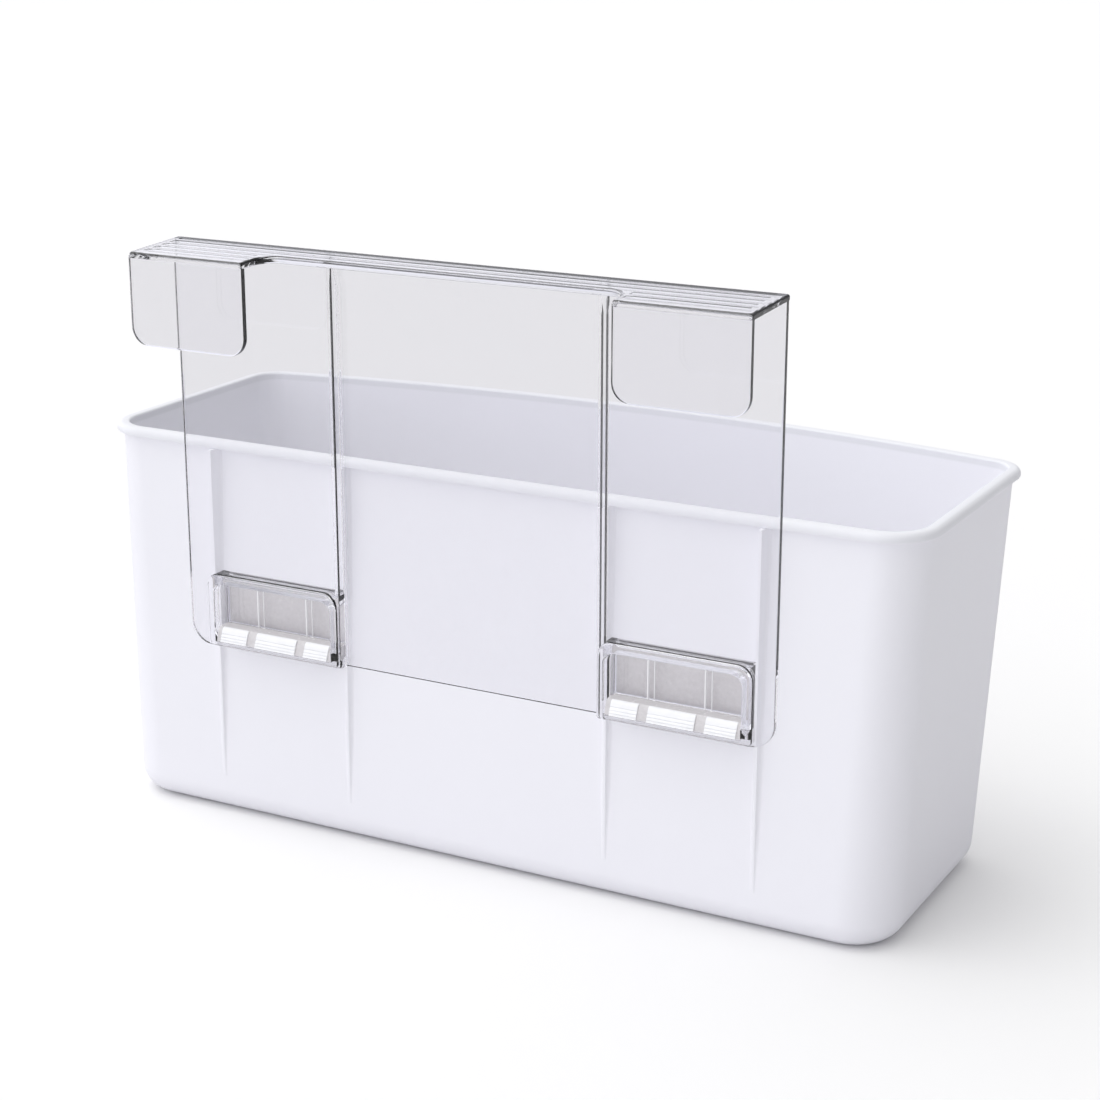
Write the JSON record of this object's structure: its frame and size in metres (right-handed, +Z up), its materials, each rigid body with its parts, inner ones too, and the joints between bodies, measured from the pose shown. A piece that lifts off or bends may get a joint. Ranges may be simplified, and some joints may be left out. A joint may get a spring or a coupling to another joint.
{
  "type": "over-the-door cleaning caddy",
  "caption": "Open rectangular bin with a bowed front, carried on a clear hanger whose hooks go over a cabinet door's top edge.",
  "frame": {"origin": "centre of the bounding box's bottom, on the surface that the bin stands on", "axes": "+X along the bin's length, +Y towards the door that the caddy hangs on, +Z up"},
  "size_m": [0.2948, 0.1453, 0.1998],
  "materials": {
    "white_plastic": "satin moulded white",
    "clear_plastic": "polished clear"
  },
  "bodies": {
    "bin": {"bin": "white_plastic"},
    "hanger": {"hanger": "clear_plastic"}
  },
  "joints": [
    {"name": "hanger_slide", "type": "slide", "parent": "bin", "child": "hanger", "axis": [0, 1, 0], "range_m": [0, 0.04]}
  ]
}
